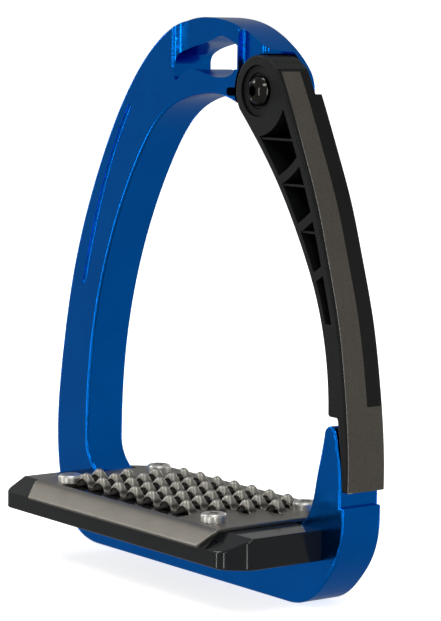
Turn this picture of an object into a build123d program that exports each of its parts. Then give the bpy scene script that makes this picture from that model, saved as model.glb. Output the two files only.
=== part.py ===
from build123d import *
import math
import os

# Safety stirrup iron with a hinged outer arm, in millimetres.
# X runs across the foot, with the hinged arm on the +X side. Y runs from the toe side (-Y)
# to the heel side (+Y). Z is up. The origin is on the underside of the bottom beam, midway
# between the two inner faces and on the frame's mid-plane.

# Frame
FOOT_HALF_WIDTH = 60.0      # half the clear width between the inner faces
FRAME_DEPTH = 14.0          # the frame is cut from bar of this thickness
FACE = FRAME_DEPTH / 2
BEAM_HEIGHT = 22.5
SEAT_HEIGHT = 19.5          # bottom of the pocket in the beam that seats the tread
SEAT_LEFT = -44.0
SEAT_RIGHT = 42.0
EDGE_BREAK = 0.7            # small round along the frame's edges

# Pivot of the arm
PIVOT_X = 26.0
PIVOT_Z = 146.1
KNUCKLE_RADIUS = 10.3       # round boss at the top of the arm
KNUCKLE_GAP = 0.4
KNUCKLE_BACK = 4.3          # the knuckle ends here and the frame's back ear begins
SHOULDER_SWING = 11.4       # radius that the arm's shoulder needs
EAR_FRONT = 4.7
EAR_RADIUS = 9.6
RECESS_RADIUS = 7.5         # round seat of the washer in the knuckle's front
RECESS_FLOOR = -4.3
WASHER_FRONT = -6.25        # the washer's face lies just below the knuckle's
SCREW_SEAT = -5.6
SCREW_HEAD_SUNK = 5.4       # radius of the washer's counterbore
PIVOT_HEAD_RADIUS = 4.45
PIVOT_HEAD_TOP = -8.7
PIVOT_HEAD_EDGE = -6.6      # the head is a cylinder up to here and then a dome
PIVOT_HEAD_FLAT = 2.3       # radius of the flat round the socket
HEX_RADIUS = 1.75
SOCKET_DEPTH = 2.1
M5 = 2.5
BUSHING_RADIUS = 4.0
SPIGOT_RADIUS = 4.4
SPRING_POCKET = 8.2
SPRING_POCKET_FRONT = 1.0
SPRING_RADIUS = 6.2
SPRING_WIRE = 0.5
SPRING_PITCH = 1.15
INSERT_RADIUS = 3.4

# Arm
ARM_SHOULDER = 151.8        # top of the arm's outer cover
ARM_BACK_TOP = 145.4        # the arm's back part stops below the frame's ear
BACK_CLEARANCE = 10.0
COVER_FRONT_TOP = -5.5      # the cover's front edge leans back toward the top
COVER_FRONT_BOTTOM = -6.6
BAND_BACK = 1.2             # the cover ends here and the inlay begins
INLAY_BOTTOM = 59.0
ARM_STEP = 56.0             # below this the arm is only a thin leg outside the horn
STEP_ROUND = 0.9
ARM_BOTTOM = 35.4
SKIN = 1.3                  # thickness of the cover and the inlay
ARM_BEVEL = 0.7             # small round along the arm's edges
POCKET_FLOOR = 2.0
LIP_TOP = 58.2
LIP_HALF_WIDTH = 5.2
COVER_SCREW_X = 62.7
COVER_SCREW_HEAD = 1.8
COVER_SCREW_Y = 2.8
M2_5 = 1.25
MAGNET_Z = 42.0
MAGNET_RADIUS = 3.0
BUFFER_Z = 48.5
BUFFER_RADIUS = 1.6

# Tread
TREAD_TOP = 24.7
PLATE_THICKNESS = 1.2
PLATE_HALF_LENGTH = 46.5
PLATE_BEND = -35.2
PLATE_BACK = 12.9
BASE_TOP = TREAD_TOP - PLATE_THICKNESS
BASE_BOTTOM = 14.5
BASE_FRONT = -38.6
BASE_BACK = 14.5
BASE_HALF_LENGTH = 58.9
RIB = 1.6
CELL_TOP = 21.3
BASE_CORNER = 3.0
BASE_WIDE_CORNER = 6.5
BASE_EDGE = 0.6
SCREW_X = 36.8
SCREW_ROWS = (-28.5, 4.9)
SCREW_HEAD_RADIUS = 3.75
SCREW_HEAD_HEIGHT = 2.4
SCREW_TIP = SEAT_HEIGHT + 0.2
M4 = 2.0
TREAD_INSERT_RADIUS = 2.9
BASE_SCREW_X = 18.0
BASE_SCREW_HEAD = 4.2
TOOTH_PITCH = 8.65
ROW_PITCH = 7.6
ROW_CENTRE = -11.7
TOOTH_HEIGHT = 3.6
RIBBON_WIDTH = 4.5


def on_face(points, y=0.0):
    """Points given as X and Z, placed at one depth."""
    return [Vector(x, y, z) for x, z in points]


def slab(profile, front, back):
    """The profile, drawn at y = 0, as a solid from the front depth to the back depth."""
    return extrude(profile.moved(Location((0, front, 0))), back - front, dir=(0, 1, 0))


def block(x_range, y_range, z_range):
    size = [high - low for low, high in (x_range, y_range, z_range)]
    middle = [(high + low) / 2 for low, high in (x_range, y_range, z_range)]
    return Pos(*middle) * Box(*size)


def rod_y(x, z, radius, front, back):
    """A cylinder along Y."""
    return Pos(x, (front + back) / 2, z) * Rot(90, 0, 0) * Cylinder(radius, back - front)


def rod_z(x, y, radius, low, high):
    return Pos(x, y, (low + high) / 2) * Cylinder(radius, high - low)


def rod_x(y, z, radius, low, high):
    return Pos((low + high) / 2, y, z) * Rot(0, 90, 0) * Cylinder(radius, high - low)


def ring_y(outer, inner, front, back):
    """A ring round the pivot."""
    return rod_y(PIVOT_X, PIVOT_Z, outer, front, back) - rod_y(PIVOT_X, PIVOT_Z, inner, front, back)


def pivot_point(radius, degrees):
    """A point at a radius and an angle round the pivot, as X and Z."""
    turn = math.radians(degrees)
    return PIVOT_X + radius * math.cos(turn), PIVOT_Z + radius * math.sin(turn)


def pivot_arc(radius, start, middle, end):
    return ThreePointArc(*on_face([pivot_point(radius, a) for a in (start, middle, end)]))


def sector(radius, start, end):
    """A pie slice round the pivot, between two angles, as a face."""
    first = Line(*on_face([(PIVOT_X, PIVOT_Z), pivot_point(radius, start)]))
    last = Line(*on_face([pivot_point(radius, end), (PIVOT_X, PIVOT_Z)]))
    rim = pivot_arc(radius, start, (start + end) / 2, end)
    return Face(Wire(first.edges() + rim.edges() + last.edges()))


def inset(curve, distance, samples=8):
    """A curve that runs down the arm, moved toward the foot by a distance."""
    points = []
    for step in range(samples + 1):
        along = curve % (step / samples)
        points.append(curve @ (step / samples) + Vector(along.Z, 0, -along.X) * distance)
    return Spline(*points)


# Frame


def outer_left():
    """The frame's outside from the crown of the top, down the left branch, to the underside."""
    points = [(0, 167.0), (-18.2, 163.1), (-36.9, 147.6), (-53.6, 122.2), (-67.6, 89.6)]
    points += [(-75.1, 56.6), (-77.0, 27.0), (-70.4, 7.3), (-54, 0)]
    return Spline(*on_face(points))


def frame_profile():
    """The whole frame seen from the front, with the gap where the arm sits."""
    ear = pivot_arc(EAR_RADIUS, 207, 304, 40)
    horn_top = ThreePointArc(*on_face([(64.3, 51.2), (62.0, 53.4), (59.1, 51.2)]))
    inner = [(-FOOT_HALF_WIDTH, 33), (-57.4, 65), (-49.6, 92.5), (-33.7, 123), (-18, 139.4)]
    inner += [(2, 144.6), pivot_point(EAR_RADIUS, 207)]
    hood = [pivot_point(EAR_RADIUS, 40), (27.2, 157.9), (18.2, 163.1), (0, 167.0)]
    outside = outer_left()
    edges = [
        outside,
        Line(*on_face([(-54, 0), (44, 0)])),
        Spline(*on_face([(44, 0), (60.1, 7.9), (68.2, 27.0)]), tangents=[(1, 0, 0), (0, 0, 1)]),
        Polyline(*on_face([(68.2, 27.0), (68.2, 30.9), (66.8, 30.9)])),
        Spline(*on_face([(66.8, 30.9), (66.3, 42), (64.3, 51.2)]),
               tangents=[(0, 0, 1), horn_top % 0]),
        horn_top,
        Spline(*on_face([(59.1, 51.2), (56.0, 38.3), (54.0, 30.2), (45, BEAM_HEIGHT)]),
               tangents=[horn_top % 1, (-1, 0, 0)]),
        Line(*on_face([(45, BEAM_HEIGHT), (-50.0, BEAM_HEIGHT)])),
        Spline(*on_face([(-50.0, BEAM_HEIGHT), (-57.1, 25.7), (-FOOT_HALF_WIDTH, 33)]),
               tangents=[(-1, 0, 0), (0, 0, 1)]),
        Spline(*on_face(inner), tangents=[(0, 0, 1), (0.93, 0, -0.37)]),
        ear,
        Spline(*on_face(hood), tangents=[ear % 1, outside % 0]),
    ]
    return Face(Wire([edge for line in edges for edge in line.edges()]))


def leather_slot():
    """The opening for the stirrup leather, arched on top and crowned below."""
    top = Spline(*on_face([(-15.2, 153.0), (-12.6, 156.6), (1, 160.1), (15.5, 158.0)]),
                 tangents=[(0, 0, 1), (0.85, 0, -0.5)])
    right = Line(*on_face([(15.5, 158.0), (15.5, 154.0)]))
    low = Spline(*on_face([(15.5, 154.0), (11.8, 149.9), (0, 150.7), (-11.6, 149.6), (-15.2, 153.0)]),
                 tangents=[(0, 0, -1), (0, 0, 1)])
    return Face(Wire(top.edges() + right.edges() + low.edges()))


def top_channel():
    """The shallow channel milled across the front of the top bar, with a curved run-out."""
    run_out = Spline((-16.0, -FACE, 0), (-13.4, -6.2, 0), (-10.4, -5.2, 0),
                     tangents=[(0.3, 1, 0), (1, 0.25, 0)])
    rest = Polyline((-10.4, -5.2, 0), (16.3, -5.2, 0), (16.3, -FACE - 1, 0), (-16.0, -FACE - 1, 0),
                    (-16.0, -FACE, 0))
    face = Face(Wire(run_out.edges() + rest.edges()))
    return extrude(face.moved(Location((0, 0, 152.0))), 18, dir=(0, 0, 1))


def hood_scoop():
    """What the cutter takes off the front of the right shoulder so that only the ear is left."""
    step, wall, ear = (16.9, -4.9), (26.6, -4.4), (28.2, EAR_FRONT)
    outline = Polyline((16.9, -FACE - 1), step, wall, ear, (48, EAR_FRONT), (48, -FACE - 1), close=True)
    face = Face(Wire(outline.edges()))
    for corner, radius in ((step, 0.8), (wall, 2.0), (ear, 1.6)):
        nearest = face.vertices().sort_by_distance(Vector(*corner, 0))[0]
        face = fillet([nearest], radius)
    return extrude(face.moved(Location((0, 0, 150.5))), 20, dir=(0, 0, 1))


def branch_recess():
    """The long shallow recess on the left branch's front face and the groove down its edge."""
    left = [(-38.6, 139.6), (-49.2, 121.4), (-58.0, 99.3), (-62.9, 83.4)]
    right = [(-58.0, 86.0), (-47.0, 108.0), (-31.2, 130.4)]
    edges = Spline(*on_face(left)).edges()
    edges += Line(*on_face([left[-1], right[0]])).edges()
    edges += Spline(*on_face(right)).edges()
    edges += Polyline(*on_face([right[-1], (-30.0, 133.8), (-37.6, 140.0), left[0]])).edges()
    floor = Face(Wire(edges))
    recess = slab(floor, -FACE - 1, -FACE + 0.3)
    path = Spline(*on_face([(x + 0.7, z) for x, z in left], -FACE))
    groove = sweep(Plane(path @ 0, z_dir=path % 0) * Circle(0.8), path=path)
    ends = Pos(path @ 0) * Sphere(0.8) + Pos(path @ 1) * Sphere(0.8)
    return recess, groove, ends


def make_frame():
    body = slab(frame_profile(), -FACE, FACE)
    bevel_edges = body.edges().filter_by_position(Axis.Y, -FACE, -FACE)
    bevel_edges += body.edges().filter_by_position(Axis.Y, FACE, FACE)
    body = fillet(bevel_edges, EDGE_BREAK)
    body -= slab(leather_slot(), -FACE - 1, FACE + 1)
    body -= top_channel()
    body -= hood_scoop()
    body -= rod_y(PIVOT_X, PIVOT_Z, KNUCKLE_RADIUS + KNUCKLE_GAP, -FACE - 1, EAR_FRONT)
    # room for the arm's shoulder as it swings up
    relief = rod_y(PIVOT_X, PIVOT_Z, SHOULDER_SWING, -FACE - 1, EAR_FRONT)
    body -= relief & block((25.3, 45), (-FACE - 1, EAR_FRONT), (PIVOT_Z - 4, 165))
    recess, groove, ends = branch_recess()
    body -= recess
    body -= groove
    body -= ends
    # pocket that seats the tread base on the beam
    body -= block((SEAT_LEFT, SEAT_RIGHT), (-FACE - 1, FACE + 1), (SEAT_HEIGHT, BEAM_HEIGHT + 1))
    # slot for the return spring's leg, open to the knuckle
    body -= block((12.6, 17.5), (-FACE - 1, 3.6), (144.3, 146.8))
    body -= rod_y(12.6, 145.55, 1.25, -FACE - 1, 3.6)
    # spigot that locates the spring, and the bore for the threaded insert
    body += rod_y(PIVOT_X, PIVOT_Z, SPIGOT_RADIUS, SPRING_POCKET_FRONT + 0.2, EAR_FRONT + 0.5)
    body -= rod_y(PIVOT_X, PIVOT_Z, INSERT_RADIUS, 0, FACE + 1)
    for x in (-BASE_SCREW_X, BASE_SCREW_X):
        body -= rod_z(x, 0, M4, -1, BEAM_HEIGHT)
        body -= Pos(x, 0, M4 / 2) * Cone(BASE_SCREW_HEAD, M4, M4)
    body -= rod_x(0, MAGNET_Z, MAGNET_RADIUS, 63.6, 70)
    return body


# Pivot


def dome_centre(rim_radius, rim_y, top_radius, top_y):
    """Where along Y the sphere through the dome's rim and its flat top has its centre."""
    gap = rim_y - top_y
    return (rim_radius ** 2 - top_radius ** 2 - gap ** 2) / (2 * gap) + rim_y


def make_pivot_screw():
    """Button-head screw with a hexagon socket, its axis along Y."""
    centre = dome_centre(PIVOT_HEAD_RADIUS, PIVOT_HEAD_EDGE, PIVOT_HEAD_FLAT, PIVOT_HEAD_TOP)
    dome = Pos(PIVOT_X, centre, PIVOT_Z) * Sphere(math.hypot(PIVOT_HEAD_RADIUS, centre - PIVOT_HEAD_EDGE))
    cap = rod_y(PIVOT_X, PIVOT_Z, PIVOT_HEAD_RADIUS, PIVOT_HEAD_TOP, PIVOT_HEAD_EDGE) & dome
    side = rod_y(PIVOT_X, PIVOT_Z, PIVOT_HEAD_RADIUS, PIVOT_HEAD_EDGE, SCREW_SEAT)
    shank = rod_y(PIVOT_X, PIVOT_Z, M5, SCREW_SEAT - 0.2, FACE - 0.4)
    socket = Plane((PIVOT_X, PIVOT_HEAD_TOP - 1, PIVOT_Z), z_dir=(0, 1, 0)) * RegularPolygon(HEX_RADIUS, 6)
    return cap + side + shank - extrude(socket, 1 + SOCKET_DEPTH, dir=(0, 1, 0))


def make_pivot_washer():
    """Thick washer with a counterbore for the screw's head."""
    washer = ring_y(RECESS_RADIUS - 0.2, M5, WASHER_FRONT, RECESS_FLOOR - 0.1)
    return washer - rod_y(PIVOT_X, PIVOT_Z, SCREW_HEAD_SUNK, WASHER_FRONT - 1, SCREW_SEAT)


def make_pivot_bushing():
    """Plain bush in the arm, turning on the screw."""
    return ring_y(BUSHING_RADIUS, M5 + 0.05, RECESS_FLOOR, SPRING_POCKET_FRONT)


def make_pivot_insert():
    """Threaded insert pressed into the frame's ear."""
    return ring_y(INSERT_RADIUS, M5, SPRING_POCKET_FRONT + 0.2, FACE - 0.1)


def make_thrust_washer():
    return ring_y(SPRING_POCKET + 1.2, SPIGOT_RADIUS + 0.1, KNUCKLE_BACK + 0.1, EAR_FRONT)


def make_torsion_spring():
    """Return spring round the frame's spigot: one leg in the frame's slot, one in the arm."""
    turns = 5 / 3
    rise = SPRING_PITCH * turns
    overrun = 0.02 * SPRING_PITCH
    front = SPRING_POCKET_FRONT + 0.7
    coil = Helix(SPRING_PITCH, rise + overrun, SPRING_RADIUS)
    wire = sweep(Plane(coil @ 0, z_dir=coil % 0) * Circle(SPRING_WIRE), path=coil)
    wire = Pos(PIVOT_X, front, PIVOT_Z) * Rot(-90, 0, 0) * Rot(0, 0, 180) * wire
    frame_leg = rod_x(front, PIVOT_Z, SPRING_WIRE, 13.6, PIVOT_X - SPRING_RADIUS)
    arm_leg = rod_x(0, 0, SPRING_WIRE, SPRING_RADIUS, 9.2)
    arm_leg = Pos(PIVOT_X, front + rise, PIVOT_Z) * Rot(0, 60, 0) * arm_leg
    return wire + frame_leg + arm_leg


# Arm


def arm_outer():
    """The outside of the arm from its shoulder down to its free end."""
    points = [(34.9, 152.6), (40.7, 141.6), (46.4, 129.8), (52.7, 116), (58.5, 99.4), (63.6, 82.8)]
    points += [(66.9, 66.2), (69.1, 49.4), (69.6, ARM_BOTTOM)]
    return Spline(*on_face(points))


def arm_inner():
    """The inside of the arm from the knuckle down to the step above the horn."""
    points = [pivot_point(KNUCKLE_RADIUS, 213), (23.5, 134.2), (35, 121), (46, 104.6)]
    points += [(54.3, 88.4), (59, 71.9), (60.4, ARM_STEP)]
    return Spline(*on_face(points))


def arm_profile():
    """The whole arm seen from the front."""
    boss = pivot_arc(KNUCKLE_RADIUS, 213, 130, 50)
    outer = arm_outer()
    inner = arm_inner()
    shell = Spline(*on_face([(64.6, ARM_STEP), (66.0, 47.5), (66.8, 41.5), (67.1, ARM_BOTTOM)]))
    edges = boss.edges() + inner.edges() + shell.edges() + outer.edges()
    edges += Line(inner @ 1, shell @ 0).edges()
    edges += Line(shell @ 1, outer @ 1).edges()
    edges += Line(boss @ 1, outer @ 0).edges()
    face = Face(Wire(edges))
    step = [corner for corner in face.vertices() if abs(corner.Z - ARM_STEP) < 0.01]
    return fillet(step, STEP_ROUND)


def arm_solid():
    """The whole arm over its full depth, with its long edges broken front and back."""
    arm = slab(arm_profile(), -FACE, FACE)
    long_edges = arm.edges().filter_by_position(Axis.Y, -FACE, -FACE)
    long_edges += arm.edges().filter_by_position(Axis.Y, FACE, FACE)
    return fillet(long_edges, ARM_BEVEL)


def skin():
    """The arm's outermost layer over its full depth."""
    outer = arm_outer()
    under = inset(outer, SKIN)
    edges = outer.edges() + under.edges()
    edges += Line(outer @ 0, under @ 0).edges()
    edges += Line(outer @ 1, under @ 1).edges()
    return slab(Face(Wire(edges)), -FACE, FACE) & arm_solid()


def behind_ear():
    """The room that the arm leaves round the frame's ear."""
    room = rod_y(PIVOT_X, PIVOT_Z, BACK_CLEARANCE, KNUCKLE_BACK, FACE + 1)
    room += block((10, 20.5), (KNUCKLE_BACK, FACE + 1), (136, 170))
    return room + block((10, 60), (KNUCKLE_BACK, FACE + 1), (ARM_BACK_TOP, 170))


def cover_screw_places():
    return [(COVER_SCREW_X, -COVER_SCREW_Y), (COVER_SCREW_X, COVER_SCREW_Y)]


def cover_lip():
    """The cover's tab under the arm's step, where its screws go."""
    reach = block((60, 68.2), (-LIP_HALF_WIDTH, LIP_HALF_WIDTH), (ARM_STEP, LIP_TOP))
    return arm_solid() & reach


def cover_skin():
    """The metal part of the arm's outside: the front half above, the full depth over the leg."""
    outline = [(COVER_FRONT_BOTTOM, ARM_BOTTOM), (FACE, ARM_BOTTOM), (FACE, INLAY_BOTTOM),
               (BAND_BACK, INLAY_BOTTOM), (BAND_BACK, ARM_SHOULDER), (COVER_FRONT_TOP, ARM_SHOULDER)]
    side = Face(Wire(Polyline(*[(20, y, z) for y, z in outline], close=True).edges()))
    return skin() & extrude(side, 60, dir=(1, 0, 0))


def make_arm_cover():
    """Metal band over the arm's outside, folded under the arm's step into a screwed lip."""
    cover = cover_skin() + cover_lip()
    for x, y in cover_screw_places():
        cover -= rod_z(x, y, M2_5, ARM_STEP - 1, LIP_TOP + 1)
        cover -= Pos(x, y, ARM_STEP + 0.5) * Cone(COVER_SCREW_HEAD, M2_5, 1.0)
    return cover - rod_x(0, MAGNET_Z, MAGNET_RADIUS, 60, 68.7)


def inlay_skin():
    return skin() & block((20, 80), (BAND_BACK, FACE), (INLAY_BOTTOM, ARM_SHOULDER))


def make_arm_inlay():
    """Plastic strip over the back half of the arm's outside."""
    return inlay_skin() - behind_ear()


def pockets():
    """The lightening pockets in the arm's front, with ribs on circles round the pivot."""
    outer = inset(arm_outer(), SKIN + 1.0)
    inner = inset(arm_inner(), -2.1)
    edges = outer.edges() + inner.edges()
    edges += Line(outer @ 0, inner @ 0).edges()
    edges += Line(outer @ 1, inner @ 1).edges()
    room = slab(Face(Wire(edges)), -FACE - 1, POCKET_FLOOR)
    room &= block((20, 80), (-FACE - 1, POCKET_FLOOR), (82, 141))
    room -= rod_y(PIVOT_X, PIVOT_Z, 13.0, -FACE - 1, POCKET_FLOOR)
    for low in (26.1, 41.8, 57.0):
        room -= ring_y(low + 2.6, low, -FACE - 1, POCKET_FLOOR)
    for z in (107.1, 119.9, 132.6):
        room -= block((20, 80), (-FACE + 0.3, POCKET_FLOOR), (z - 0.3, z + 0.3))
    return room


def make_arm_body():
    body = arm_solid() - cover_skin() - inlay_skin() - cover_lip() - behind_ear() - pockets()
    body -= rod_y(PIVOT_X, PIVOT_Z, RECESS_RADIUS, -FACE - 1, RECESS_FLOOR)
    body -= rod_y(PIVOT_X, PIVOT_Z, BUSHING_RADIUS, -FACE - 1, FACE)
    body -= rod_y(PIVOT_X, PIVOT_Z, SPRING_POCKET, SPRING_POCKET_FRONT, FACE)
    # window that lets the spring's fixed leg through the knuckle over the whole travel
    body -= slab(sector(KNUCKLE_RADIUS + 1, 112, 186), SPRING_POCKET_FRONT, FACE)
    # groove that takes the spring's moving leg
    groove = block((SPRING_POCKET - 1, 9.6), (SPRING_POCKET_FRONT, FACE), (-0.7, 0.7))
    body -= Pos(PIVOT_X, 0, PIVOT_Z) * Rot(0, 60, 0) * groove
    for x, y in cover_screw_places():
        body -= rod_z(x, y, M2_5, ARM_STEP, 66)
    body -= rod_x(0, MAGNET_Z, MAGNET_RADIUS, 60, 68.7)
    return body - rod_x(0, BUFFER_Z, BUFFER_RADIUS, 60, 67.6)


def make_cover_screws():
    """Two countersunk screws that hold the cover's lip to the arm from below."""
    screws = []
    for x, y in cover_screw_places():
        head = Pos(x, y, ARM_STEP + 0.5) * Cone(COVER_SCREW_HEAD, M2_5, 1.0)
        screws.append(head + rod_z(x, y, M2_5, ARM_STEP + 0.5, 65.6))
    return screws


def make_arm_magnet():
    return rod_x(0, MAGNET_Z, MAGNET_RADIUS, 66.9, 68.7)


def make_horn_magnet():
    return rod_x(0, MAGNET_Z, MAGNET_RADIUS, 63.6, 65.9)


def make_closing_buffer():
    """Rubber plug that the closed arm rests on the horn with."""
    return rod_x(0, BUFFER_Z, BUFFER_RADIUS, 65.75, 67.6)


# Tread


def base_outline():
    """The tread base seen from above."""
    right, back = BASE_HALF_LENGTH, BASE_BACK
    outline = Polyline((53.6, BASE_FRONT), (right, -31.6), (right, back - 8), (right - 7, back),
                       (7 - right, back), (-right, back - 8), (-right, BASE_FRONT), close=True)
    face = Face(Wire(outline.edges()))
    face = fillet([corner for corner in face.vertices() if corner.X > 0], BASE_WIDE_CORNER)
    return fillet([corner for corner in face.vertices() if corner.X < right * -0.5], BASE_CORNER)


def front_slope(x_range, top_edge):
    """What is cut off the base's front top edge, between two X."""
    points = [(x_range[0], top_edge, BASE_TOP), (x_range[0], BASE_FRONT - 1, 18.8),
              (x_range[0], BASE_FRONT - 1, BASE_TOP + 1), (x_range[0], top_edge, BASE_TOP + 1)]
    return extrude(Face(Wire(Polyline(*points, close=True).edges())), x_range[1] - x_range[0], dir=(1, 0, 0))


def is_upright(edge):
    return abs((edge % 0.5).Z) > 0.95


def rounded_base(base):
    """The base with its long outer edges rounded, except the ones that lie along the tread."""
    lower = [edge for edge in base.edges() if edge.center().Z < BASE_BOTTOM + 0.1]
    upper = [edge for edge in base.edges() if edge.center().Z > BASE_TOP - 5.5 and not is_upright(edge)]
    ends = [edge for edge in upper if abs(edge.center().X) > PLATE_HALF_LENGTH + 0.1]
    rear = [edge for edge in upper if abs(edge.center().X) < PLATE_HALF_LENGTH + 0.1 and edge.center().Y > 0]
    return fillet(ends + rear + lower, BASE_EDGE)


def make_tread_base():
    """Moulded platform that bridges the beam and carries the metal tread."""
    base = extrude(base_outline().moved(Location((0, 0, BASE_BOTTOM))), BASE_TOP - BASE_BOTTOM, dir=(0, 0, 1))
    base -= front_slope((-PLATE_HALF_LENGTH - 1, PLATE_HALF_LENGTH + 1), PLATE_BEND + 1)
    base -= front_slope((PLATE_HALF_LENGTH, 70), -31.2)
    base -= front_slope((-70, -PLATE_HALF_LENGTH), -31.2)
    base = rounded_base(base)
    for cell in range(6):
        low = -48 + 16 * cell
        base -= block((low + RIB, low + 16), (-35.5, -9), (BASE_BOTTOM - 1, CELL_TOP))
    for x in (-SCREW_X, SCREW_X):
        base += rod_z(x, SCREW_ROWS[0], 4.6, BASE_BOTTOM, CELL_TOP + 0.5)
    base -= block((-70, SEAT_LEFT), (-FACE, FACE), (0, 30))
    base -= block((SEAT_RIGHT, 70), (-FACE, FACE), (0, 30))
    base -= block((SEAT_LEFT, SEAT_RIGHT), (-FACE, FACE), (0, SEAT_HEIGHT))
    for x, y in tread_screw_places():
        base -= rod_z(x, y, TREAD_INSERT_RADIUS, SCREW_TIP - 0.1, BASE_TOP + 1)
    for x in (-BASE_SCREW_X, BASE_SCREW_X):
        base -= rod_z(x, 0, M4, SEAT_HEIGHT - 1, BASE_TOP - 0.5)
    return base


def tread_screw_places():
    return [(x, y) for x in (-SCREW_X, SCREW_X) for y in SCREW_ROWS]


def tooth_row(crests, y):
    """One wave-shaped grip ribbon with a crest at each X, standing on the plate."""
    half = TOOTH_PITCH / 2
    low, high = TREAD_TOP, TREAD_TOP + TOOTH_HEIGHT
    points = [(crests[0] - half, low)]
    for x in crests:
        points += [(x, high), (x + half, low)]
    level = [(1, 0, 0)] * len(points)
    top = Spline(*on_face(points), tangents=level)
    bottom = Spline(*on_face([(x, z - PLATE_THICKNESS) for x, z in points]), tangents=level)
    edges = top.edges() + bottom.edges()
    edges += Line(top @ 0, bottom @ 0).edges() + Line(top @ 1, bottom @ 1).edges()
    return slab(Face(Wire(edges)), y - RIBBON_WIDTH / 2, y + RIBBON_WIDTH / 2)


def tooth_rows():
    """Crest places of the five staggered rows, each with its Y."""
    starts = ((-3.5, 7), (-4, 8), (-3.5, 8), (-3, 8), (-2.5, 7))
    rows = []
    for row, (start, count) in enumerate(starts):
        crests = [(start + tooth) * TOOTH_PITCH for tooth in range(count)]
        rows.append((crests, ROW_CENTRE + (row - 2) * ROW_PITCH))
    return rows


def make_tread_plate():
    """Bent sheet-metal tread with raised, open grip teeth."""
    dip = PLATE_THICKNESS * 0.9
    side = [(PLATE_BACK, TREAD_TOP), (PLATE_BEND, TREAD_TOP), (-39.9, 20.4), (-39.9 + dip, 20.4 - dip / 1.2)]
    side += [(PLATE_BEND + 0.45, BASE_TOP), (PLATE_BACK, BASE_TOP)]
    outline = Polyline(*[(-PLATE_HALF_LENGTH, y, z) for y, z in side], close=True)
    plate = extrude(Face(Wire(outline.edges())), 2 * PLATE_HALF_LENGTH, dir=(1, 0, 0))
    for hand in (-1, 1):
        taper = Polyline((hand * PLATE_HALF_LENGTH, PLATE_BEND, 0), (hand * 43.3, -40.5, 0),
                         (hand * 48, -40.5, 0), (hand * 48, PLATE_BEND, 0), close=True)
        plate -= extrude(Face(Wire(taper.edges())), 40, dir=(0, 0, 1))
    for crests, y in tooth_rows():
        ends = (crests[0] - TOOTH_PITCH / 2, crests[-1] + TOOTH_PITCH / 2)
        plate -= block(ends, (y - RIBBON_WIDTH / 2, y + RIBBON_WIDTH / 2), (BASE_TOP - 1, TREAD_TOP + 1))
        plate += tooth_row(crests, y)
    for x, y in tread_screw_places():
        plate -= rod_z(x, y, M4 + 0.2, BASE_TOP - 1, TREAD_TOP + 1)
        plate -= rod_z(x, y, SCREW_HEAD_RADIUS + 0.1, TREAD_TOP, TREAD_TOP + TOOTH_HEIGHT)
    return plate


def make_tread_screws():
    """Four pan-head screws with cross recesses."""
    screws = []
    for x, y in tread_screw_places():
        top = TREAD_TOP + SCREW_HEAD_HEIGHT
        head = rod_z(x, y, SCREW_HEAD_RADIUS, TREAD_TOP, top)
        head = fillet(head.edges().group_by(Axis.Z)[-1], 0.9)
        for size in ((4.2, 1.0), (1.0, 4.2)):
            head -= Pos(x, y, top) * Box(size[0], size[1], 2.2)
        screws.append(head + rod_z(x, y, M4, SCREW_TIP, TREAD_TOP + 0.2))
    return screws


def make_tread_inserts():
    """Four threaded inserts in the tread base."""
    inserts = []
    for x, y in tread_screw_places():
        inserts.append(rod_z(x, y, TREAD_INSERT_RADIUS, SCREW_TIP, BASE_TOP) - rod_z(x, y, M4, 0, 30))
    return inserts


def make_base_screws():
    """Two countersunk screws that come up through the beam into the base."""
    screws = []
    for x in (-BASE_SCREW_X, BASE_SCREW_X):
        head = Pos(x, 0, M4 / 2) * Cone(BASE_SCREW_HEAD, M4, M4)
        screw = head + rod_z(x, 0, M4, M4 / 2, BASE_TOP - 0.7)
        socket = Plane((x, 0, -1)) * RegularPolygon(1.4, 6)
        screws.append(screw - extrude(socket, 2.4, dir=(0, 0, 1)))
    return screws


MAKERS = {
    "frame": make_frame,
    "pivot_screw": make_pivot_screw,
    "pivot_washer": make_pivot_washer,
    "pivot_bushing": make_pivot_bushing,
    "pivot_insert": make_pivot_insert,
    "thrust_washer": make_thrust_washer,
    "torsion_spring": make_torsion_spring,
    "arm_body": make_arm_body,
    "arm_cover": make_arm_cover,
    "arm_inlay": make_arm_inlay,
    "cover_screws": make_cover_screws,
    "arm_magnet": make_arm_magnet,
    "horn_magnet": make_horn_magnet,
    "closing_buffer": make_closing_buffer,
    "tread_base": make_tread_base,
    "tread_plate": make_tread_plate,
    "tread_screws": make_tread_screws,
    "tread_inserts": make_tread_inserts,
    "base_screws": make_base_screws,
}

os.makedirs("parts", exist_ok=True)
for node, make in MAKERS.items():
    made = make()
    if isinstance(made, list):
        made = Compound(children=made)
    export_step(made, f"parts/{node}.step")
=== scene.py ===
import math

import bmesh
import bpy
from mathutils import Matrix, Vector


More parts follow.
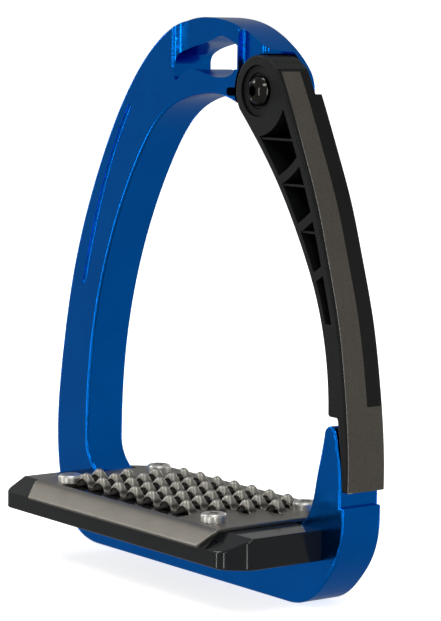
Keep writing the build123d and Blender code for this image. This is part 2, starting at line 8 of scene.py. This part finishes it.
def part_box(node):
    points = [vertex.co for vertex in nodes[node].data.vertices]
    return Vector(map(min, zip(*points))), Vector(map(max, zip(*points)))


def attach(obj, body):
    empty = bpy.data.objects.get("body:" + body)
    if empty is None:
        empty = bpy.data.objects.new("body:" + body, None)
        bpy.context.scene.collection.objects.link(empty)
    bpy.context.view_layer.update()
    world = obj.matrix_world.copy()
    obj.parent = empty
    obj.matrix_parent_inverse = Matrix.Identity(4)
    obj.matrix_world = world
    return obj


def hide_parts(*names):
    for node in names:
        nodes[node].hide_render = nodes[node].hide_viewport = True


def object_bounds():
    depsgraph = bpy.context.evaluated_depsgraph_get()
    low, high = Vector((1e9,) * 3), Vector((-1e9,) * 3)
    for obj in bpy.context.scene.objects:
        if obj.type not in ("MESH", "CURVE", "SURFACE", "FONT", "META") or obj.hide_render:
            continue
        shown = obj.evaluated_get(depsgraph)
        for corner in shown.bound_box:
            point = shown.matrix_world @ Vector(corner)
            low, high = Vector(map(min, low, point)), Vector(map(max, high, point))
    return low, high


# Looks of a safety stirrup iron, in metres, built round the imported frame.

MM = 0.001

# Tread sheet
TOOTH_PITCH = 8.65 * MM
ROW_PITCH = 7.6 * MM
ROW_CENTRE = -11.7 * MM     # the middle row
RIBBON_HALF = 1.55 * MM     # half the width of a row
TOOTH_REACH = 0.37          # half a tooth's length, in pitches
TOOTH_POWER = 2.1           # how full a tooth's profile is
FOOT_ROUND = 0.12
CREST_DROOP = 0.5           # how far the sides of a row fall below its middle
DROOP_POWER = 2.6
FRONT_SLOT = 4.9 * MM       # the slot in front of the first row, and in front of the others
ROW_SLOT = 0.7 * MM
SHEET = 1.15 * MM           # gauge of the sheet, which is thinner in the teeth
TOOTH_THINNING = 0.5
PLATE_TOP = 24.7 * MM
BEND_Y = -35.2 * MM
BEND_START = 0.5 * MM       # the bend begins this far behind BEND_Y
BEND_SLOPE = 0.915
BEND_SOFTNESS = 0.9 * MM
FRONT_INSET = 0.05 * MM
FRONT_TAPER = 0.068         # how much shorter the bent flange is at its lower edge
EDGE_ROUND = 0.16 * MM
STEP = 0.36 * MM            # grid of the teeth along X, across a row, and of the flat parts along Y
RIBBON_STEP = 0.35 * MM
SIDE_STEP = 0.46 * MM
FLAT_STEP = 0.6 * MM
WELD = 0.02 * MM
ROW_STARTS = ((-3.5, 7), (-4, 8), (-3.5, 8), (-3, 8), (-2.5, 7))    # first tooth and count, per row

# Studio
FLOOR_HALF = 30
FLOOR_DROP = 0.3 * MM
SHADE_PATCH_SCALE = 1.6            # one over the radius of the patch of painted shade under the iron, where the floor glows dimmer
# the floor's glow far from the iron, and in the painted shade under it
GLOW_FAR, GLOW_IN_SHADE_PATCH = 1.0, 0.76
TENT_STRENGTH = 0.34
LIT_POINT = (0, 0, 0.08)
STRIP_AZIMUTHS = (-118, -76, -22, 58, 122, 188)
STRIP_SIZE = (0.07, 1.1)
STRIP_POWER = 2.4

# Camera
CAMERA_PLACE = (599.971, -451.22, 163.989)      # in mm
CAMERA_AZIMUTH = 53.02
CAMERA_DROP = 6.409
CAMERA_ROLL = 0.809
LENS = 145.98
SENSOR = 36

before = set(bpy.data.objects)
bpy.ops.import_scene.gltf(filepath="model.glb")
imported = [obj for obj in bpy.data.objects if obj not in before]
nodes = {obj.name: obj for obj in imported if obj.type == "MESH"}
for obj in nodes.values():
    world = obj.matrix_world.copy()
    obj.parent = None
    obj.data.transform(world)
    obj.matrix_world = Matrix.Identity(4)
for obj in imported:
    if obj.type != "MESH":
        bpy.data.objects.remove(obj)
cad_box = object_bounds()


# Materials


class Material:
    """A node material with one Principled shader and short helpers to feed it."""

    def __init__(self, name):
        self.data = bpy.data.materials.new(name)
        self.data.use_nodes = True
        self.tree = self.data.node_tree
        self.shader = self.tree.nodes["Principled BSDF"]
        self.place = self.tree.nodes.new("ShaderNodeTexCoord").outputs["Object"]
        self.height = None

    def set(self, **values):
        for name, value in values.items():
            self.shader.inputs[name.replace("_", " ")].default_value = value
        return self

    def link(self, output, socket):
        self.tree.links.new(output, self.shader.inputs[socket])

    def stretched(self, scale):
        """Object coordinates scaled per axis, for grain that runs one way."""
        node = self.tree.nodes.new("ShaderNodeMapping")
        node.inputs["Scale"].default_value = scale
        self.tree.links.new(self.place, node.inputs["Vector"])
        return node.outputs["Vector"]

    def noise(self, scale, detail=3.0, roughness=0.55, vector=None):
        node = self.tree.nodes.new("ShaderNodeTexNoise")
        node.inputs["Scale"].default_value = scale
        node.inputs["Detail"].default_value = detail
        node.inputs["Roughness"].default_value = roughness
        self.tree.links.new(vector or self.place, node.inputs["Vector"])
        return node.outputs["Fac"]

    def spread(self, value, low, high, start=0.3, stop=0.7):
        """A value remapped from start..stop to low..high."""
        node = self.tree.nodes.new("ShaderNodeMapRange")
        for name, number in (("From Min", start), ("From Max", stop), ("To Min", low), ("To Max", high)):
            node.inputs[name].default_value = number
        self.tree.links.new(value, node.inputs["Value"])
        return node.outputs["Result"]

    def mix(self, factor, first, second):
        """Colour between first and second, each a colour or an output."""
        node = self.tree.nodes.new("ShaderNodeMix")
        node.data_type = "RGBA"
        self.tree.links.new(factor, node.inputs["Factor"])
        for name, value in (("A", first), ("B", second)):
            socket = [s for s in node.inputs if s.name == name and s.type == "RGBA"][0]
            if isinstance(value, tuple):
                socket.default_value = (*value, 1.0)
            else:
                self.tree.links.new(value, socket)
        return [s for s in node.outputs if s.type == "RGBA"][0]

    def times(self, first, second):
        """The product of two outputs."""
        node = self.tree.nodes.new("ShaderNodeMath")
        node.operation = "MULTIPLY"
        self.tree.links.new(first, node.inputs[0])
        self.tree.links.new(second, node.inputs[1])
        return node.outputs["Value"]

    def axis(self, name):
        """One of the object coordinates, in metres."""
        node = self.tree.nodes.new("ShaderNodeSeparateXYZ")
        self.tree.links.new(self.place, node.inputs["Vector"])
        return node.outputs[name]

    def edges(self, radius, gain=5.0):
        """A mask of the surface within a radius of a sharp edge; more gain makes it narrower and steeper."""
        rounded = self.tree.nodes.new("ShaderNodeBevel")
        rounded.samples = 4
        rounded.inputs["Radius"].default_value = radius
        geometry = self.tree.nodes.new("ShaderNodeNewGeometry")
        dot = self.tree.nodes.new("ShaderNodeVectorMath")
        dot.operation = "DOT_PRODUCT"
        self.tree.links.new(rounded.outputs["Normal"], dot.inputs[0])
        self.tree.links.new(geometry.outputs["Normal"], dot.inputs[1])
        nearly_flat = 0.995
        return self.spread(dot.outputs["Value"], 1.0, 0.0, 1.0 - 1.0 / gain, nearly_flat)

    def bump(self, value, distance, strength=1.0):
        """Adds a height to the surface, after any given before."""
        node = self.tree.nodes.new("ShaderNodeBump")
        node.inputs["Distance"].default_value = distance
        node.inputs["Strength"].default_value = strength
        self.tree.links.new(value, node.inputs["Height"])
        if self.height is not None:
            self.tree.links.new(self.height, node.inputs["Normal"])
        self.height = node.outputs["Normal"]
        self.link(self.height, "Normal")


def blue_anodised():
    """Polished aluminium under a deep blue anodised layer."""
    m = Material("blue_anodised").set(Metallic=1.0, Specular_Tint=(0.7, 0.78, 0.85, 1.0))
    cloud = m.spread(m.noise(60, 4), 0.0, 1.0)
    base = m.mix(cloud, (0.001, 0.142, 0.6), (0.001, 0.16, 0.66))
    # partly wear, partly painted highlight: the sharp edges are lightened to a bright cyan, in a band varied
    # by noise
    edge_wear_and_highlight = m.times(m.edges(0.3 * MM), m.spread(m.noise(420, 5), 0.15, 0.45, 0.4, 0.7))
    m.link(m.mix(edge_wear_and_highlight, base, (0.01, 0.34, 0.95)), "Base Color")
    m.link(m.spread(m.noise(900, 5, 0.65), 0.15, 0.23), "Roughness")
    m.bump(m.noise(2600, 2), 0.00001, 0.25)
    return m.data


def black_polymer(name, low, high, roughness):
    """Moulded glass-filled plastic with a fine satin texture."""
    m = Material(name).set(Metallic=0.0, Specular_IOR_Level=0.16)
    cloud = m.spread(m.noise(140, 5), 0.0, 1.0)
    base = m.mix(cloud, low, high)
    # partly wear, partly painted highlight: the sharp edges are lightened to grey in noisy patches
    edge_wear_and_highlight = m.times(m.edges(0.25 * MM), m.spread(m.noise(600, 4), 0.0, 0.6, 0.4, 0.75))
    m.link(m.mix(edge_wear_and_highlight, base, (0.055, 0.056, 0.055)), "Base Color")
    m.link(m.spread(m.noise(1500, 4), roughness - 0.06, roughness + 0.08), "Roughness")
    m.bump(m.noise(3400, 3, 0.7), 0.00003, 0.5)
    return m.data


def dark_metal():
    """Grey anodised aluminium, finely blasted, with faint machining lines across it."""
    m = Material("dark_anodised").set(Metallic=0.85)
    cloud = m.spread(m.noise(90, 5), 0.0, 1.0)
    grain = m.noise(2400, 3, 0.7)
    base = m.mix(cloud, (0.088, 0.08, 0.066), (0.104, 0.094, 0.079))
    base = m.mix(m.spread(grain, 0.0, 0.6), base, (0.15, 0.138, 0.117))
    base = m.mix(m.spread(m.noise(1300, 4, 0.7), 0.0, 0.5, 0.5, 0.7), base, (0.06, 0.055, 0.047))
    # painted highlight: the front edge is lightened to near white on the lower part of the arm, with a fine
    # hatch
    front = m.spread(m.axis("Y"), 1.0, 0.0, -5.1 * MM, -4.6 * MM)
    low = m.spread(m.axis("Z"), 1.0, 0.0, 128 * MM, 140 * MM)
    highlight_hatch = m.spread(m.noise(1, 2, 0.5, m.stretched((260, 260, 2400))), 0.25, 1.0)
    cut = m.times(m.times(front, low), m.times(m.edges(0.42 * MM, 9.0), highlight_hatch))
    m.link(m.mix(cut, base, (0.95, 0.95, 0.93)), "Base Color")
    m.link(m.spread(grain, 0.54, 0.68), "Roughness")
    m.bump(grain, 0.00003, 0.45)
    m.bump(m.noise(1, 2, 0.5, m.stretched((500, 120, 2600))), 0.00002, 0.3)
    return m.data


def tread_steel():
    """Stainless sheet with a blasted matte finish, brighter on its edges."""
    m = Material("blasted_steel").set(Metallic=1.0)
    cloud = m.spread(m.noise(120, 5), 0.0, 1.0)
    grain = m.noise(2800, 3, 0.7)
    base = m.mix(cloud, (0.2, 0.187, 0.16), (0.245, 0.23, 0.2))
    base = m.mix(m.spread(grain, 0.0, 0.35), base, (0.32, 0.3, 0.27))
    # painted shade and highlight: the teeth are darkened toward their feet and lightened on their crests
    lift = m.axis("Z")
    above_plate = m.spread(lift, 0.0, 1.0, 24.75 * MM, 25.1 * MM)
    below_crest = m.spread(lift, 1.0, 0.0, 25.6 * MM, 26.6 * MM)
    painted_foot_shade = m.times(above_plate, below_crest)
    base = m.mix(painted_foot_shade, base, (0.085, 0.08, 0.07))
    # painted highlight: lighter toward the crests
    base = m.mix(m.spread(lift, 0.0, 1.0, 25.8 * MM, 26.8 * MM), base, (0.36, 0.345, 0.305))
    m.link(m.mix(m.edges(0.25 * MM), base, (0.75, 0.73, 0.7)), "Base Color")
    m.link(m.spread(grain, 0.34, 0.5), "Roughness")
    m.bump(grain, 0.00003, 0.4)
    return m.data


def unblasted_steel():
    """The dull underside of the tread sheet."""
    m = Material("dull_steel").set(Metallic=0.1, Specular_IOR_Level=0.3)
    cloud = m.spread(m.noise(160, 5), 0.0, 1.0)
    m.link(m.mix(cloud, (0.2, 0.195, 0.18), (0.27, 0.26, 0.24)), "Base Color")
    m.link(m.spread(m.noise(2000, 4), 0.55, 0.7), "Roughness")
    m.bump(m.noise(2800, 3), 0.00003, 0.4)
    return m.data


def plated(name, low, high, smooth, rough):
    """Turned metal between two colours and two values of roughness."""
    m = Material(name).set(Metallic=1.0)
    turned = m.noise(1, 3, 0.6, m.stretched((300, 300, 5200)))
    cloud = m.spread(m.noise(500, 4), 0.0, 1.0)
    m.link(m.mix(cloud, low, high), "Base Color")
    m.link(m.spread(turned, smooth, rough), "Roughness")
    m.bump(turned, 0.000005, 0.15)
    return m.data


def polished_black():
    """Blackened button-head screw, smooth enough to mirror a lamp."""
    m = Material("black_oxide").set(Metallic=1.0)
    cloud = m.spread(m.noise(300, 3), 0.0, 1.0)
    m.link(m.mix(cloud, (0.034, 0.033, 0.03), (0.046, 0.044, 0.04)), "Base Color")
    m.link(m.spread(m.noise(900, 3), 0.09, 0.14), "Roughness")
    m.bump(m.noise(200, 2), 0.000004, 0.1)
    return m.data


def gloss_black():
    """High-gloss moulded black plastic with a trace of orange peel and dust."""
    m = Material("gloss_black").set(Metallic=0.0, Specular_IOR_Level=0.32)
    cloud = m.spread(m.noise(80, 4), 0.0, 1.0)
    m.link(m.mix(cloud, (0.0085, 0.0095, 0.0105), (0.0115, 0.0125, 0.0135)), "Base Color")
    m.link(m.spread(m.noise(700, 5, 0.7), 0.07, 0.15), "Roughness")
    m.bump(m.noise(420, 2), 0.00003, 0.12)
    return m.data


def soft_rubber():
    """Black rubber with a dull, slightly rough skin."""
    m = Material("soft_rubber").set(Metallic=0.0, Specular_IOR_Level=0.35)
    cloud = m.spread(m.noise(400, 4), 0.0, 1.0)
    m.link(m.mix(cloud, (0.018, 0.018, 0.018), (0.03, 0.03, 0.03)), "Base Color")
    m.link(m.spread(m.noise(1200, 4), 0.6, 0.8), "Roughness")
    m.bump(m.noise(2600, 3), 0.00004, 0.5)
    return m.data


def dress_cad_nodes():
    """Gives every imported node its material, and returns the materials by node."""
    arm_black = black_polymer("arm_black", (0.0052, 0.0058, 0.0057), (0.0078, 0.0084, 0.0082), 0.42)
    inlay_black = black_polymer("inlay_black", (0.005, 0.005, 0.0048), (0.0072, 0.0072, 0.007), 0.36)
    washer_white = black_polymer("slide_white", (0.6, 0.6, 0.57), (0.7, 0.7, 0.67), 0.4)
    dark_steel = plated("black_zinc", (0.07, 0.066, 0.06), (0.11, 0.105, 0.095), 0.2, 0.34)
    bright_steel = plated("bright_zinc", (0.6, 0.585, 0.54), (0.72, 0.705, 0.66), 0.3, 0.44)
    spring_steel = plated("spring_steel", (0.3, 0.29, 0.27), (0.42, 0.41, 0.38), 0.25, 0.4)
    brass = plated("turned_brass", (0.55, 0.4, 0.16), (0.68, 0.5, 0.22), 0.22, 0.38)
    nickel = plated("nickel", (0.55, 0.54, 0.51), (0.66, 0.65, 0.62), 0.12, 0.25)
    finish = {
        "frame": blue_anodised(),
        "arm_body": arm_black,
        "arm_cover": dark_metal(),
        "arm_inlay": inlay_black,
        "tread_base": gloss_black(),
        "tread_plate": tread_steel(),
        "pivot_screw": polished_black(),
        "pivot_washer": arm_black,
        "cover_screws": dark_steel,
        "thrust_washer": washer_white,
        "torsion_spring": spring_steel,
        "pivot_bushing": brass,
        "pivot_insert": brass,
        "tread_inserts": brass,
        "arm_magnet": nickel,
        "horn_magnet": nickel,
        "closing_buffer": soft_rubber(),
        "tread_screws": bright_steel,
        "base_screws": bright_steel,
    }
    for name, obj in nodes.items():
        obj.data.materials.clear()
        obj.data.materials.append(finish[name])
    return finish


# Tread plate with its teeth

PLATE_LOW, PLATE_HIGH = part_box("tread_plate")
TOOTH_HEIGHT = PLATE_HIGH.z - PLATE_TOP


def tooth_lift(x, across, row):
    """How far a tooth ribbon stands above the plate, from 0 to 1, at x and across its width."""
    start, count = ROW_STARTS[row]
    place = x / TOOTH_PITCH - start
    if place < -0.5 or place > count - 0.5:
        return 0.0
    away = abs(place - round(place)) / TOOTH_REACH
    sharp = 1.0 - away ** TOOTH_POWER
    rounded = 0.5 * (sharp + math.sqrt(sharp * sharp + FOOT_ROUND ** 2))
    top = 0.5 + 0.5 * math.sqrt(1 + FOOT_ROUND ** 2)
    droop = 1.0 - CREST_DROOP * abs(across) ** DROOP_POWER
    return rounded / top * droop


def steps(low, high, size):
    """Evenly spaced values from low to high, about a size apart."""
    count = max(1, round((high - low) / size))
    return [low + (high - low) * i / count for i in range(count + 1)]


def add_grid(bm, xs, ys, height):
    """A sheet over xs and ys, with its height as a function of both."""
    rows = [[bm.verts.new((x, y, height(x, y))) for x in xs] for y in ys]
    for lower, upper in zip(rows, rows[1:]):
        for i in range(len(xs) - 1):
            bm.faces.new((lower[i], lower[i + 1], upper[i + 1], upper[i]))


def plate_height(x, y):
    """The flat plate, rounded down at its front bend."""
    past_bend = (BEND_Y - y) + BEND_START
    if past_bend <= -4 * MM:
        return PLATE_TOP
    softened = 0.5 * (past_bend + math.sqrt(past_bend * past_bend + BEND_SOFTNESS * BEND_SOFTNESS))
    return PLATE_TOP - BEND_SLOPE * softened


def add_row(bm, row, xs, edge):
    """One row of teeth with the flat sheet in front of it and at its ends; returns the row's back edge."""
    start, count = ROW_STARTS[row]
    middle = ROW_CENTRE + (row - len(ROW_STARTS) // 2) * ROW_PITCH
    low, high = middle - RIBBON_HALF, middle + RIBBON_HALF
    slot = FRONT_SLOT if row == 0 else ROW_SLOT
    left = (start - 0.5) * TOOTH_PITCH
    right = (start + count - 0.5) * TOOTH_PITCH
    gap = STEP / 3
    inside = [left] + [x for x in xs if left + gap < x < right - gap] + [right]
    outside_left = [x for x in xs if x < left - gap] + [left]
    outside_right = [right] + [x for x in xs if x > right + gap]

    def ribbon(x, y):
        return PLATE_TOP + TOOTH_HEIGHT * tooth_lift(x, (y - middle) / RIBBON_HALF, row)

    add_grid(bm, xs, steps(edge, low - slot, FLAT_STEP), plate_height)
    add_grid(bm, inside, steps(low, high, RIBBON_STEP), ribbon)
    for part in (outside_left, outside_right):
        add_grid(bm, part, steps(low - slot, high, SIDE_STEP), plate_height)
    return high


def tread_mesh():
    """The top face of the sheet, with its front flange tapered."""
    bm = bmesh.new()
    xs = steps(-PLATE_HIGH.x, PLATE_HIGH.x, STEP)
    front_y = PLATE_LOW.y + FRONT_INSET
    edge = front_y
    for row in range(len(ROW_STARTS)):
        edge = add_row(bm, row, xs, edge)
    add_grid(bm, xs, steps(edge, PLATE_HIGH.y, FLAT_STEP), plate_height)
    bmesh.ops.remove_doubles(bm, verts=bm.verts, dist=WELD)
    for vert in bm.verts:
        taper = min(1.0, max(0.0, (BEND_Y - vert.co.y) / (BEND_Y - front_y)))
        vert.co.x *= 1.0 - FRONT_TAPER * taper
    bmesh.ops.recalc_face_normals(bm, faces=bm.faces)
    mesh = bpy.data.meshes.new("tread_sheet")
    bm.to_mesh(mesh)
    bm.free()
    return mesh


def give_thickness(sheet):
    """Thickens the sheet downward, less in the teeth, and rounds its cut edges."""
    gauge = sheet.vertex_groups.new(name="gauge")
    for vert in sheet.data.vertices:
        lift = min(1.0, max(0.0, (vert.co.z - PLATE_TOP) / TOOTH_HEIGHT))
        gauge.add([vert.index], 1.0 - TOOTH_THINNING * min(1.0, 3.0 * lift), "REPLACE")
    thicken = sheet.modifiers.new("thickness", "SOLIDIFY")
    thicken.thickness = SHEET
    thicken.offset = -1.0
    thicken.vertex_group = "gauge"
    thicken.material_offset = 1
    soften = sheet.modifiers.new("rounded edges", "BEVEL")
    soften.width = EDGE_ROUND
    soften.segments = 2
    soften.limit_method = "ANGLE"
    soften.angle_limit = math.radians(50)


def make_tread_plate(material):
    """Bent sheet with five staggered rows of wave-shaped teeth, cut free in front of the first."""
    mesh = tread_mesh()
    sheet = bpy.data.objects.new("tread_sheet", mesh)
    bpy.context.scene.collection.objects.link(sheet)
    if sum(p.normal.z for p in mesh.polygons) < 0:
        mesh.flip_normals()
    give_thickness(sheet)
    for polygon in mesh.polygons:
        polygon.use_smooth = True
    mesh.materials.append(material)
    mesh.materials.append(unblasted_steel())
    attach(sheet, "frame")
    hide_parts("tread_plate")


# Studio


def make_floor():
    """A pale sweep that the iron stands on, glowing like a light table so that only a soft shadow shows; the
    glow is dimmed in a patch under the iron as painted shade, on top of the real shadow.
    """
    bm = bmesh.new()
    signs = ((-1, -1), (1, -1), (1, 1), (-1, 1))
    corners = [bm.verts.new((x * FLOOR_HALF, y * FLOOR_HALF, 0)) for x, y in signs]
    bm.faces.new(corners)
    mesh = bpy.data.meshes.new("floor")
    bm.to_mesh(mesh)
    bm.free()
    floor = bpy.data.objects.new("floor", mesh)
    floor.location.z = cad_box[0][2] - FLOOR_DROP
    bpy.context.scene.collection.objects.link(floor)
    m = Material("pale_floor").set(Metallic=0.0, Roughness=0.9, Specular_IOR_Level=0.0)
    m.link(m.mix(m.spread(m.noise(4, 3), 0.0, 1.0), (0.86, 0.86, 0.86), (0.9, 0.9, 0.9)), "Base Color")
    # painted shade: the glow is dimmed in a round patch under the iron
    shade_patch = m.tree.nodes.new("ShaderNodeTexGradient")
    shade_patch.gradient_type = "SPHERICAL"
    m.tree.links.new(m.stretched((SHADE_PATCH_SCALE, SHADE_PATCH_SCALE, SHADE_PATCH_SCALE)), shade_patch.inputs["Vector"])
    m.set(Emission_Color=(1, 1, 1, 1))
    m.link(m.spread(shade_patch.outputs["Fac"], GLOW_FAR, GLOW_IN_SHADE_PATCH, 0.0, 1.0), "Emission Strength")
    mesh.materials.append(m.data)
    floor.visible_glossy = False
    floor.visible_diffuse = False
    floor.visible_shadow = False


def add_softbox(name, azimuth, elevation, distance, size, power):
    """A soft light that faces the iron from a compass direction, with azimuth 0 along +X."""
    turn, rise = math.radians(azimuth), math.radians(elevation)
    middle = Vector(LIT_POINT)
    away = Vector((math.cos(turn) * math.cos(rise), math.sin(turn) * math.cos(rise), math.sin(rise)))
    light = bpy.data.lights.new(name, "AREA")
    light.shape = "RECTANGLE"
    light.size, light.size_y = size
    light.energy = power
    obj = bpy.data.objects.new(name, light)
    obj.location = middle + away * distance
    obj.rotation_euler = (-away).to_track_quat("-Z", "Y").to_euler()
    obj.visible_camera = False
    bpy.context.scene.collection.objects.link(obj)


def make_studio():
    """A white backdrop for the camera, and an even, dimmer tent round the iron with a few softboxes."""
    world = bpy.data.worlds.new("studio")
    bpy.context.scene.world = world
    world.use_nodes = True
    tree = world.node_tree
    tent = tree.nodes["Background"]
    tent.inputs["Color"].default_value = (1.0, 1.0, 1.0, 1.0)
    tent.inputs["Strength"].default_value = TENT_STRENGTH
    backdrop = tree.nodes.new("ShaderNodeBackground")
    backdrop.inputs["Color"].default_value = (1.0, 1.0, 1.0, 1.0)
    rays = tree.nodes.new("ShaderNodeLightPath")
    either = tree.nodes.new("ShaderNodeMixShader")
    tree.links.new(rays.outputs["Is Camera Ray"], either.inputs["Fac"])
    tree.links.new(tent.outputs["Background"], either.inputs[1])
    tree.links.new(backdrop.outputs["Background"], either.inputs[2])
    tree.links.new(either.outputs["Shader"], tree.nodes["World Output"].inputs["Surface"])
    add_softbox("softbox_top", 0, 86, 1.2, (0.5, 0.5), 4.5)
    add_softbox("softbox_left", 215, 38, 1.4, (0.5, 0.3), 3)
    add_softbox("softbox_right", 320, 42, 1.4, (0.4, 0.3), 3)
    for azimuth in STRIP_AZIMUTHS:
        add_softbox("strip_%d" % (azimuth % 360), azimuth, -2, 1.3, STRIP_SIZE, STRIP_POWER)


def make_camera():
    """A long lens at the height of the iron's middle, off its front right."""
    azimuth, drop, roll = (math.radians(angle) for angle in (CAMERA_AZIMUTH, CAMERA_DROP, CAMERA_ROLL))
    level = Vector((-math.sin(azimuth), math.cos(azimuth), 0))
    forward = level * math.cos(drop) - Vector((0, 0, math.sin(drop)))
    right = Vector((math.cos(azimuth), math.sin(azimuth), 0))
    up = right.cross(forward)
    turned_right = right * math.cos(roll) + up * math.sin(roll)
    turned_up = up * math.cos(roll) - right * math.sin(roll)
    camera = bpy.data.cameras.new("camera")
    camera.sensor_width = SENSOR
    camera.lens = LENS
    camera.clip_start = 0.01
    camera.clip_end = 50
    obj = bpy.data.objects.new("camera", camera)
    turn = Matrix((turned_right, turned_up, -forward)).transposed().to_4x4()
    obj.matrix_world = Matrix.Translation(Vector(CAMERA_PLACE) * MM) @ turn
    bpy.context.scene.collection.objects.link(obj)
    bpy.context.scene.camera = obj


finish = dress_cad_nodes()
make_tread_plate(finish["tread_plate"])
make_floor()
make_studio()
make_camera()
bpy.context.scene.view_settings.view_transform = "Standard"
